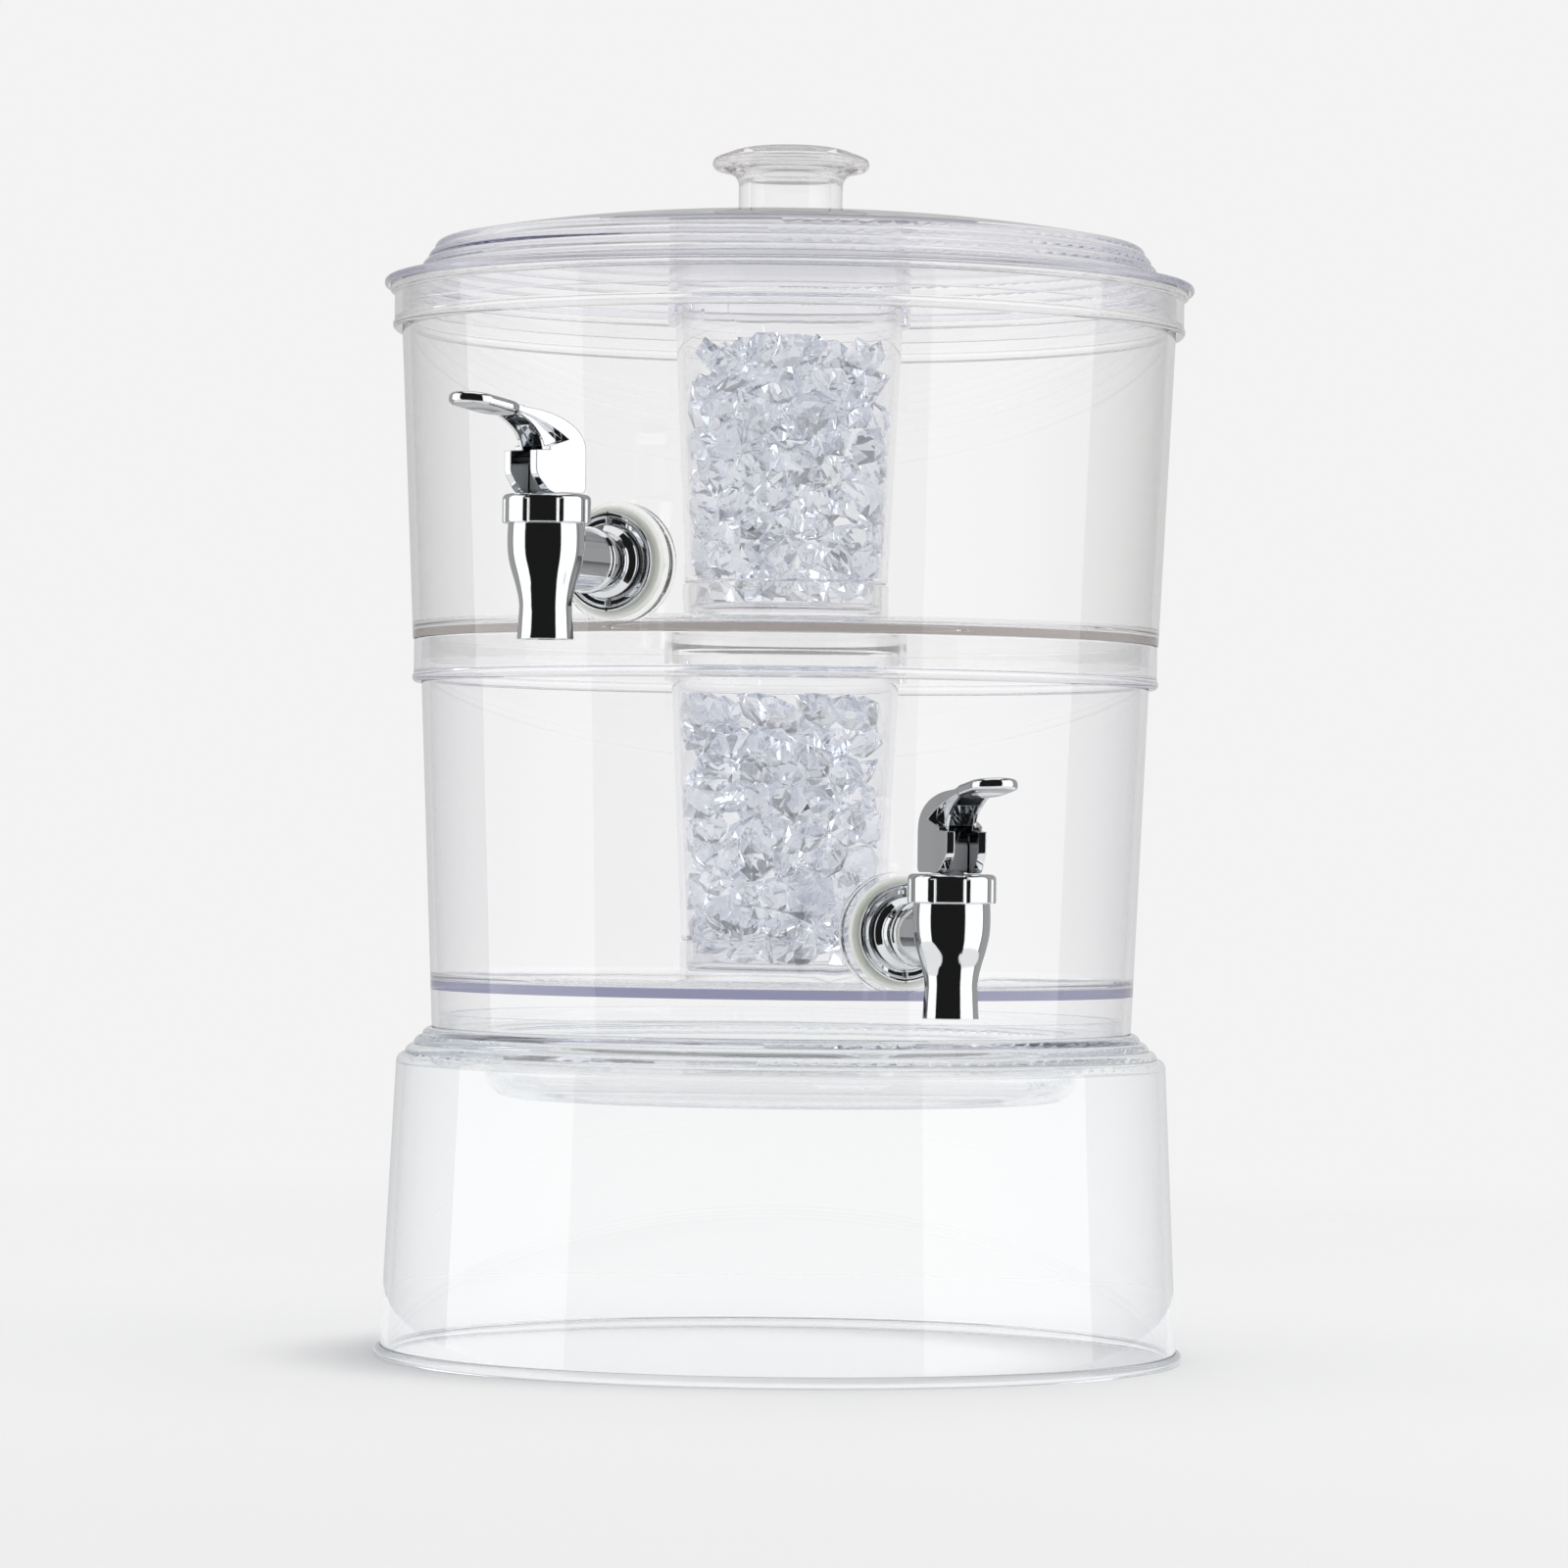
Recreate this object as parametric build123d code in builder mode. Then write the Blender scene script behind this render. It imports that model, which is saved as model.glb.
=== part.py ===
from build123d import *
from math import cos, pi, radians, sin
from random import Random
import os

# Two-tier beverage dispenser. A hollow base carries two clear tanks, one on the other.
# Each tank has a lever tap and a central ice core, and a domed lid closes the top one.
# Millimetres, +Z up, origin on the axis in the plane the base stands on, front towards -Y.

# Base stand
base_height = 118.0
base_low_radius = 143.4
base_foot_height = 4.0
base_foot_overhang = 2.2
base_foot_round = 1.2
base_shoulder_radius = 138.6
base_shoulder_height = 12.0
base_dish_radius = 107.0
base_dish_depth = 25.0
base_dish_corner = 9.0
base_upstand_height = 5.0

# Ridges round the shoulders of the base and the lid
ridge_count = 4
ridge_bulge = 0.8

# Tanks
wall = 2.6
floor_thickness = 3.4
tank_flare = 5.1
lower_radius = 126.0
lower_skirt_height = 13.5
lower_body_height = 123.8
upper_body_height = 111.4
tier_overhang = 0.4
bead_height = 3.3
bead_overhang = 3.4
collar_height = 12.2
collar_step = 2.9
nest_depth = 8.0
rim_lip = 1.6

# Lid and knob
lid_wall = 2.4
lid_rim_radius = 146.0
lid_rim_height = 3.0
lid_shoulder_radius = 134.8
lid_shoulder_height = 13.4
lid_top_radius = 126.0
lid_dome_rise = 9.6
lid_land_radius = 24.0
knob_radius = 28.3
knob_neck_radius = 18.8
knob_height = 26.0
knob_wall = 4.2

# Ice cores
core_wall = 2.2
core_rim_radius = 41.0
core_foot_radius = 36.6
core_drop = 93.4
core_insert = 11.0
core_plug_depth = 11.0
socket_wall = 2.4
lid_socket_drop = 12.2
floor_socket_drop = 14.1

# Bayonet between each core and its socket
lug_count = 3
lug_arc = 14.0
lug_height = 2.6
lug_reach = 1.1
lug_lift = 4.0
twist_angle = 25.0

# Ice chips
chip_seed = 11
chip_layers = 6
chip_sides = 13
chip_gap = 0.3
chip_jitter = 2.8
chip_headroom = 9.0

# Taps
tap_azimuth = 22.0
tap_above_floor = 20.0
tap_reach = 51.7
upper_lever_yaw = -12.0
pad_radius = 21.0
pad_proud = 1.3
washer_radius = 19.4
outer_washer_thickness = 3.0
inner_washer_thickness = 2.0
inner_washer_radius = 14.5
flange_radius = 16.9
arm_radius = 10.5
shank_radius = 8.0
shank_bore_radius = 5.0
nut_across_flats = 24.0
nut_thickness = 7.0
shank_spare = 3.0
body_radius = 13.1
waist_radius = 8.85
nozzle_radius = 9.5
nozzle_drop = 28.0
outlet_radius = 6.4
chamber_radius = 9.0
bonnet_radius = 14.9
bonnet_low = 10.8
bonnet_high = 20.6
bonnet_plate = 2.6
bonnet_edge = 1.8
bonnet_grooves = 8
groove_radius = 1.5
groove_depth = 0.5
gasket_thickness = 1.0
stem_radius = 4.0
stem_collar_radius = 8.3
head_half_width = 3.8
head_half_length = 4.4
pin_radius = 1.6
pin_half_length = 6.8
spring_radius = 7.4
spring_wire_radius = 0.45
spring_turns = 4
lever_half_width = 9.0
lever_slot_half_width = 4.2
lever_neck_half_width = 5.4
lever_heel = 9.6
lever_heel_height = 13.0
lever_heel_round = 2.0
lever_foot_gap = 0.5
lever_tip = 46.6
lever_rise = 32.2
cheek_height = 14.2
thumb_length = 27.4
thumb_half_width = 8.2
thumb_thickness = 3.7
thumb_tilt = 7.0
thumb_rim_round = 1.5
thumb_dish_radius = 38.0
thumb_dish_depth = 0.5
cam_radius = 7.1
cam_offset = 4.8
press_angle = 40.0

# Side view of a tap lever: points as shares of its reach and of its rise above the bonnet
lever_back_line = ((-0.181, 0.578), (-0.064, 0.72), (0.107, 0.811), (0.3, 0.863), (0.451, 0.885), (0.601, 0.894))
lever_under_line = ((0.601, 0.845), (0.472, 0.82), (0.386, 0.77), (0.258, 0.662), (0.189, 0.54), (0.167, 0.453))
lever_roof_line = ((-0.026, 0.568), (0.185, 0.711), (0.397, 0.805), (0.59, 0.845))
lever_slot_line = ((-0.097, 0.435), (0.075, 0.503), (0.133, 0.596), (0.21, 0.714), (0.333, 0.8), (0.418, 0.825))
lever_slot_back = ((-0.155, -0.03), (-0.155, 0.342))
lever_slot_front = ((0.472, 0.683), (0.32, -0.03))
# Plan of its side from heel to neck: shares of its reach and of its half width
lever_plan_line = ((-0.223, 1.0), (0.04, 0.935), (0.2, 0.84), (0.4, 0.737), (0.62, 0.708))
# Front of its cheeks: shares of the cam's radius, from the cam's centre
cheek_nose_line = ((1.337, 0.28), (1.238, -0.169), (1.02, -0.41), (0.643, -0.766))

# Clearances
slip = 0.4
seat_gap = 0.1
running = 0.06
seal_gap = 0.3
cam_gap = 0.15

os.makedirs("parts", exist_ok=True)


def save(builder, label):
    """Name a finished piece and write it to its own file."""
    builder.part.label = label
    export_step(builder.part, f"parts/{label}.step")


def ridge_points(start, end):
    """Points of a scalloped slope: ends of the ridges, with a bulged middle between each two."""
    run = end[0] - start[0]
    rise = end[1] - start[1]
    length = (run**2 + rise**2) ** 0.5
    points = [start]
    for ridge in range(ridge_count):
        middle = (ridge + 0.5) / ridge_count
        tail = (ridge + 1) / ridge_count
        bulged = (
            start[0] + run * middle + ridge_bulge * abs(rise) / length,
            start[1] + rise * middle + ridge_bulge * abs(run) / length,
        )
        points += [bulged, (start[0] + run * tail, start[1] + rise * tail)]
    return points


def ridge_arcs(start, end):
    """Draw the scalloped slope in the open line, one arc to a ridge."""
    points = ridge_points(start, end)
    for ridge in range(ridge_count):
        ThreePointArc(*points[2 * ridge : 2 * ridge + 3])


def half_plane(turn):
    """Upright plane through the axis: x out from the axis at an angle about it, y up."""
    outward = (cos(radians(turn)), sin(radians(turn)), 0)
    return Plane((0, 0, 0), x_dir=outward, z_dir=(outward[1], -outward[0], 0))


# Heights and radii of the stack, worked out from the sizes above
lower_floor = base_height + lower_skirt_height
lower_bead = base_height + lower_body_height
lower_ledge = lower_bead + bead_height
lower_rim = lower_ledge + collar_height
upper_bead = lower_rim + upper_body_height
upper_ledge = upper_bead + bead_height
upper_rim = upper_ledge + collar_height
lower_collar_radius = lower_radius + tank_flare + collar_step
upper_radius = lower_collar_radius + tier_overhang
upper_collar_radius = upper_radius + tank_flare + collar_step
lid_top = upper_rim + lid_rim_height + lid_shoulder_height
lid_land = lid_top + lid_dome_rise
lower_seat = base_height + seat_gap
upper_seat = lower_rim + seat_gap
lid_seat = upper_rim + seat_gap
knob_seat = lid_land + seat_gap
socket_radius = core_rim_radius + slip
upper_socket = upper_rim - lid_socket_drop
lower_socket = lower_rim - floor_socket_drop
upper_core_foot = upper_socket - core_drop
lower_core_foot = lower_socket - core_drop
plug_radius = core_foot_radius - core_wall
boss_inner_radius = plug_radius + slip
boss_outer_radius = boss_inner_radius + core_wall
upper_floor_top = lower_rim + floor_thickness
lower_floor_top = lower_floor + floor_thickness
upper_tap = upper_floor_top + tap_above_floor
lower_tap = lower_floor_top + tap_above_floor
upper_tap_wall = upper_radius + tank_flare * (upper_tap - lower_rim) / upper_body_height
lower_tap_wall = lower_radius + tank_flare * (lower_tap - base_height) / lower_body_height

# Base: a tapering drum open underneath, with a ridged shoulder and a sunken dish on top
with BuildPart() as base_stand:
    base_top_radius = lower_radius + slip
    shoulder_low = base_height - base_shoulder_height
    dish_low = base_height - base_dish_depth
    with BuildSketch(Plane.XZ):
        with BuildLine():
            foot_bulge = (base_low_radius + base_foot_overhang, base_foot_height / 2)
            foot_edge = (base_low_radius + base_foot_overhang - base_foot_round, 0)
            foot_head = (base_low_radius, base_foot_height)
            ThreePointArc(foot_edge, foot_bulge, foot_head)
            Line(foot_head, (base_shoulder_radius, shoulder_low))
            ridge_arcs((base_shoulder_radius, shoulder_low), (base_top_radius, base_height))
            upstand_outer = lower_radius - wall - slip
            FilletPolyline(
                (base_top_radius, base_height),
                (upstand_outer, base_height),
                (upstand_outer, base_height + base_upstand_height),
                (upstand_outer - wall, base_height + base_upstand_height),
                (upstand_outer - wall, base_height),
                (base_dish_radius - wall, base_height),
                (base_dish_radius - wall, dish_low + wall),
                (0, dish_low + wall),
                radius=(0, 0.6, 0.6, 0, wall, base_dish_corner - wall),
            )
            Line((0, dish_low + wall), (0, dish_low))
            FilletPolyline(
                (0, dish_low),
                (base_dish_radius, dish_low),
                (base_dish_radius, base_height - wall),
                (base_top_radius - wall, base_height - wall),
                (base_shoulder_radius - wall, shoulder_low),
                (base_low_radius - wall, 0),
                radius=(base_dish_corner, 0, 0, wall),
            )
            Line((base_low_radius - wall, 0), foot_edge)
        make_face()
    revolve(axis=Axis.Z)
save(base_stand, "base_stand")


def tap_frame(azimuth, radius, height):
    """Plane at a tap: x outward from the tank, z up."""
    outward = (sin(radians(azimuth)), -cos(radians(azimuth)), 0)
    return Plane((radius * outward[0], radius * outward[1], height), x_dir=outward, z_dir=(0, 0, 1))


def side_of(frame):
    """Upright plane through a frame's origin: x along the frame's x, y up."""
    return Plane(frame.origin, x_dir=frame.x_dir, z_dir=-frame.y_dir)


def on_lever(line):
    """Points of a line in the side view of a tap lever, from their shares of its reach and rise."""
    return [(x * lever_tip, bonnet_high + z * lever_rise) for x, z in line]


def face_of(frame, distance):
    """Upright plane that faces outward, the given distance along the frame's x."""
    return Plane(frame.origin + frame.x_dir * distance, x_dir=frame.y_dir, z_dir=frame.x_dir)


lower_tap_frame = tap_frame(tap_azimuth, lower_tap_wall + tap_reach, lower_tap)
upper_tap_frame = tap_frame(-tap_azimuth, upper_tap_wall + tap_reach, upper_tap)
pad_outer = pad_proud - tap_reach
pad_inner = -tap_reach - wall - 1.6 * pad_proud
pad_thickness = pad_outer - pad_inner
tap_hole_radius = shank_radius + slip

# Lower tank: tapered wall on a skirt, raised floor, bead and collar for the tank above
with BuildPart() as lower_tank:
    lower_top_radius = lower_radius + tank_flare
    with BuildSketch(Plane.XZ):
        with BuildLine():
            bead_start = (lower_top_radius + bead_overhang - 1.2, lower_bead)
            bead_middle = (lower_top_radius + bead_overhang, lower_bead + bead_height / 2)
            bead_end = (lower_collar_radius, lower_ledge)
            Polyline((lower_radius, lower_seat), (lower_top_radius, lower_bead), bead_start)
            ThreePointArc(bead_start, bead_middle, bead_end)
            floor_inner = lower_radius - wall + tank_flare * lower_skirt_height / lower_body_height
            FilletPolyline(
                bead_end,
                (lower_collar_radius, lower_rim),
                (lower_collar_radius - wall, lower_rim),
                (lower_collar_radius - wall, lower_ledge),
                (lower_top_radius - wall, lower_ledge),
                (floor_inner, lower_floor_top),
                (0, lower_floor_top),
                radius=(0.5, 0.5, 1.0, 0.8, 3.0),
            )
            Polyline(
                (0, lower_floor_top),
                (0, lower_floor),
                (floor_inner, lower_floor),
                (lower_radius - wall, lower_seat),
                (lower_radius, lower_seat),
            )
        make_face()
    revolve(axis=Axis.Z)
    boss_top = lower_core_foot - slip
    with BuildSketch(Plane.XY.offset(lower_floor_top - 0.5)):
        Circle(boss_outer_radius)
        Circle(boss_inner_radius, mode=Mode.SUBTRACT)
    extrude(amount=boss_top - lower_floor_top + 0.5)
    with BuildSketch(face_of(lower_tap_frame, pad_inner)):
        Circle(pad_radius)
    extrude(amount=pad_thickness)
    with BuildSketch(face_of(lower_tap_frame, pad_inner - 1)):
        Circle(tap_hole_radius)
    extrude(amount=pad_thickness + 2, mode=Mode.SUBTRACT)
save(lower_tank, "lower_tank")


# Bayonet cuts, each as start angle, arc and height above the socket's mouth
first_lug = 90.0
groove_top = lug_lift + lug_height + slip
bayonet_cuts = []
for lug in range(lug_count):
    lug_start = first_lug + lug * 360 / lug_count - lug_arc / 2 - 1
    bayonet_cuts.append((lug_start, twist_angle + lug_arc + 2, lug_lift - slip))
    bayonet_cuts.append((lug_start + twist_angle, lug_arc + 2, -1.0))

# Upper tank: its floor edge stands on the lower collar, and a ring under it nests inside
with BuildPart() as upper_tank:
    upper_top_radius = upper_radius + tank_flare
    with BuildSketch(Plane.XZ):
        with BuildLine():
            bead_start = (upper_top_radius + bead_overhang - 1.2, upper_bead)
            bead_middle = (upper_top_radius + bead_overhang, upper_bead + bead_height / 2)
            bead_end = (upper_collar_radius, upper_ledge)
            Polyline((upper_radius, upper_seat), (upper_top_radius, upper_bead), bead_start)
            ThreePointArc(bead_start, bead_middle, bead_end)
            nest_radius = lower_collar_radius - wall - slip
            FilletPolyline(
                bead_end,
                (upper_collar_radius, upper_rim - 2.4),
                (upper_collar_radius + rim_lip, upper_rim - 1.6),
                (upper_collar_radius + rim_lip, upper_rim),
                (upper_collar_radius - wall, upper_rim),
                (upper_collar_radius - wall, upper_ledge),
                (upper_top_radius - wall, upper_ledge),
                (upper_radius - wall, upper_floor_top),
                (0, upper_floor_top),
                radius=(0.6, 0.6, 0.6, 0.5, 1.0, 0.8, 3.0),
            )
            Polyline(
                (0, upper_floor_top),
                (0, lower_rim),
                (socket_radius, lower_rim),
                (socket_radius, lower_socket),
                (socket_radius + socket_wall, lower_socket),
                (socket_radius + socket_wall, lower_rim),
                (nest_radius - wall, lower_rim),
                (nest_radius - wall, lower_rim - nest_depth),
                (nest_radius, lower_rim - nest_depth),
                (nest_radius, upper_seat),
                (upper_radius, upper_seat),
            )
        make_face()
    revolve(axis=Axis.Z)
    boss_top = upper_core_foot - slip
    with BuildSketch(Plane.XY.offset(upper_floor_top - 0.5)):
        Circle(boss_outer_radius)
        Circle(boss_inner_radius, mode=Mode.SUBTRACT)
    extrude(amount=boss_top - upper_floor_top + 0.5)
    with BuildSketch(face_of(upper_tap_frame, pad_inner)):
        Circle(pad_radius)
    extrude(amount=pad_thickness)
    with BuildSketch(face_of(upper_tap_frame, pad_inner - 1)):
        Circle(tap_hole_radius)
    extrude(amount=pad_thickness + 2, mode=Mode.SUBTRACT)
    for turn, arc, low in bayonet_cuts:
        with BuildSketch(half_plane(turn)):
            with Locations((socket_radius, lower_socket + low)):
                Rectangle(2 * (lug_reach + slip), groove_top - low, align=(Align.CENTER, Align.MIN))
        revolve(axis=Axis.Z, revolution_arc=arc, mode=Mode.SUBTRACT)
save(upper_tank, "upper_tank")

# Lid: rolled rim, ridged shoulder, low dome, a locating lip and the socket of the upper core
dome_run = lid_top_radius - lid_land_radius
dome_radius = (dome_run**2 + lid_dome_rise**2) / (2 * lid_dome_rise)


def dome_height(radius):
    """Height of the dome's top at a distance from the axis."""
    return lid_land - dome_radius + (dome_radius**2 - (radius - lid_land_radius) ** 2) ** 0.5


with BuildPart() as lid:
    lip_radius = upper_collar_radius - wall - slip
    rim_top = upper_rim + lid_rim_height
    inner_top_radius = lid_top_radius - lid_wall
    dome_middle = (lid_land_radius + lid_top_radius) / 2
    inner_middle = (lid_land_radius + inner_top_radius) / 2
    with BuildSketch(Plane.XZ):
        with BuildLine():
            FilletPolyline(
                (lip_radius, lid_seat),
                (lid_rim_radius, lid_seat),
                (lid_rim_radius, rim_top),
                (lid_shoulder_radius, rim_top),
                radius=(0.9, 0.45 * lid_rim_height),
            )
            ridge_arcs((lid_shoulder_radius, rim_top), (lid_top_radius, lid_top))
            ThreePointArc(
                (lid_top_radius, lid_top),
                (dome_middle, dome_height(dome_middle)),
                (lid_land_radius, lid_land),
            )
            Polyline(
                (lid_land_radius, lid_land),
                (0, lid_land),
                (0, lid_land - lid_wall),
                (lid_land_radius, lid_land - lid_wall),
            )
            ThreePointArc(
                (lid_land_radius, lid_land - lid_wall),
                (inner_middle, dome_height(inner_middle) - lid_wall),
                (inner_top_radius, dome_height(inner_top_radius) - lid_wall),
            )
            FilletPolyline(
                (inner_top_radius, dome_height(inner_top_radius) - lid_wall),
                (lid_shoulder_radius - lid_wall, upper_rim),
                (lip_radius - lid_wall, upper_rim),
                (lip_radius - lid_wall, upper_rim - nest_depth),
                (lip_radius, upper_rim - nest_depth),
                (lip_radius, lid_seat),
                radius=(0, 0, 0.6, 0.6),
            )
        make_face()
    revolve(axis=Axis.Z)
    with BuildSketch(Plane.XY.offset(upper_socket)):
        Circle(socket_radius + socket_wall)
        Circle(socket_radius, mode=Mode.SUBTRACT)
    extrude(amount=dome_height(socket_radius + socket_wall) - 0.5 * lid_wall - upper_socket)
    with BuildSketch(Plane.XY.offset(lid_land)):
        Circle(knob_neck_radius - knob_wall - running)
        Circle(knob_neck_radius - 1.5 * knob_wall, mode=Mode.SUBTRACT)
    extrude(amount=0.5 * knob_wall)
    for turn, arc, low in bayonet_cuts:
        with BuildSketch(half_plane(turn)):
            with Locations((socket_radius, upper_socket + low)):
                Rectangle(2 * (lug_reach + slip), groove_top - low, align=(Align.CENTER, Align.MIN))
        revolve(axis=Axis.Z, revolution_arc=arc, mode=Mode.SUBTRACT)
save(lid, "lid")

# Knob: a hollow spool that stands on the lid round its locating ring
with BuildPart() as lid_knob:
    knob_top = lid_land + knob_height
    knob_edge = lid_land + 0.79 * knob_height
    with BuildSketch(Plane.XZ):
        with BuildLine():
            neck_top = (knob_neck_radius, lid_land + 0.46 * knob_height)
            under_edge = (knob_radius - 2.0, knob_edge - 2.7)
            over_edge = (knob_radius - 1.8, knob_edge + 2.2)
            crown = (0.55 * knob_radius, knob_top)
            Line((knob_neck_radius, knob_seat), neck_top)
            Spline(neck_top, under_edge, tangents=((0, 1), (1, 0.15)))
            ThreePointArc(under_edge, (knob_radius, knob_edge), over_edge)
            Spline(over_edge, crown, tangents=((-1, 0.35), (-1, 0.1)))
            FilletPolyline(
                crown,
                (0.45 * knob_radius, knob_top - 1.4),
                (0, knob_top - 1.4),
                radius=(0.8,),
            )
            FilletPolyline(
                (0, knob_top - 1.4),
                (0, knob_top - 1.4 - knob_wall),
                (knob_neck_radius - knob_wall, knob_top - 1.4 - knob_wall),
                (knob_neck_radius - knob_wall, knob_seat),
                (knob_neck_radius, knob_seat),
                radius=(0, 2.0, 0),
            )
        make_face()
    revolve(axis=Axis.Z)
save(lid_knob, "lid_knob")


# Ice cores: tapered cups that end in a plug, with bayonet lugs near the rim
def make_core(label, socket_low):
    """One ice core, hung with its rim inside the socket that starts at the given height."""
    foot = socket_low - core_drop
    rim = socket_low + core_insert
    with BuildPart() as core:
        with BuildSketch(Plane.XZ):
            with BuildLine():
                FilletPolyline(
                    (0, foot - core_plug_depth),
                    (plug_radius, foot - core_plug_depth),
                    (plug_radius, foot),
                    (core_foot_radius, foot),
                    (core_rim_radius, socket_low),
                    (core_rim_radius, rim),
                    (core_rim_radius - core_wall, rim),
                    (core_rim_radius - core_wall, socket_low),
                    (core_foot_radius - core_wall, foot + core_wall),
                    (plug_radius - core_wall, foot + core_wall),
                    (plug_radius - core_wall, foot - core_plug_depth + core_wall),
                    (0, foot - core_plug_depth + core_wall),
                    radius=(2.0, 0, 1.0, 0, 0.6, 0.6, 0, 0, 0, 1.5),
                )
                Line((0, foot - core_plug_depth + core_wall), (0, foot - core_plug_depth))
            make_face()
        revolve(axis=Axis.Z)
        for lug in range(lug_count):
            with BuildSketch(half_plane(first_lug + lug * 360 / lug_count - lug_arc / 2)):
                with Locations((core_rim_radius - 0.5 * core_wall, socket_low + lug_lift)):
                    Rectangle(0.5 * core_wall + lug_reach, lug_height, align=(Align.MIN, Align.MIN))
            revolve(axis=Axis.Z, revolution_arc=lug_arc)
    save(core, label)


make_core("lower_ice_core", lower_socket)
make_core("upper_ice_core", upper_socket)


# Ice chips: faceted crystals packed close in a core, each the space nearest to its own seed
def clip(polygon, point, outward):
    """Part of a flat polygon on the inner side of a plane."""
    kept = []
    above = [sum(n * (v - p) for v, p, n in zip(vertex, point, outward)) for vertex in polygon]
    for index, vertex in enumerate(polygon):
        height, next_height = above[index - 1], above[index]
        if height * next_height < 0:
            share = height / (height - next_height)
            kept.append(tuple(a + share * (b - a) for a, b in zip(polygon[index - 1], vertex)))
        if next_height <= 0:
            kept.append(vertex)
    return kept


def crystal(planes):
    """Convex solid bounded by planes, each given as a point and its outward direction."""
    faces = []
    for index, (point, outward) in enumerate(planes):
        flat = Plane(point, z_dir=outward)
        corners = ((-1, -1), (1, -1), (1, 1), (-1, 1))
        polygon = [tuple(flat.from_local_coords(Vector(x, y) * 2 * core_drop)) for x, y in corners]
        for other_point, other_outward in planes[:index] + planes[index + 1 :]:
            polygon = clip(polygon, other_point, other_outward)
        if polygon:
            faces.append(Face(Wire.make_polygon(polygon)))
    return Solid(Shell(faces))


def chip_solids():
    """The chips of one core, with heights measured from the core's foot."""
    dice = Random(chip_seed)
    low = core_wall + chip_gap - core_plug_depth
    high = core_drop - chip_headroom
    flat_radius = (plug_radius - core_wall - 3 * chip_gap) * cos(pi / chip_sides)
    core_taper = (core_rim_radius - core_foot_radius) / core_drop
    borders = [((0, 0, low), (0, 0, -1))]
    for side in range(chip_sides):
        angle = 2 * pi * side / chip_sides
        point = (flat_radius * cos(angle), flat_radius * sin(angle), low)
        borders.append((point, (cos(angle), sin(angle), -core_taper)))
    seeds = []
    for layer in range(chip_layers):
        height = low + (high - low) * (layer + 0.5) / chip_layers
        turn = dice.uniform(0, 2 * pi)
        for ring, count in ((0.26 * plug_radius, 3), (0.7 * plug_radius, 7)):
            for place in range(count):
                angle = turn + 2 * pi * place / count
                shake = [dice.uniform(-chip_jitter, chip_jitter) for axis in range(3)]
                seeds.append(Vector(ring * cos(angle), ring * sin(angle), height) + Vector(*shake))
    solids = []
    for own in seeds:
        lean = (dice.uniform(-0.3, 0.3), dice.uniform(-0.3, 0.3), 1)
        planes = borders + [((own.X, own.Y, high), lean)]
        for other in sorted(seeds, key=lambda point: (point - own).length)[1:21]:
            way = (other - own).normalized()
            planes.append((tuple((own + other) * 0.5 - way * (chip_gap / 2)), tuple(way)))
        solids.append(crystal(planes))
    return solids


chips = chip_solids()
with BuildPart() as lower_ice_chips:
    with Locations((0, 0, lower_core_foot)):
        add(chips, clean=False)
save(lower_ice_chips, "lower_ice_chips")
with BuildPart() as upper_ice_chips:
    with Locations(Location((0, 0, upper_core_foot), (0, 0, 150))):
        add(chips, clean=False)
save(upper_ice_chips, "upper_ice_chips")


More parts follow.
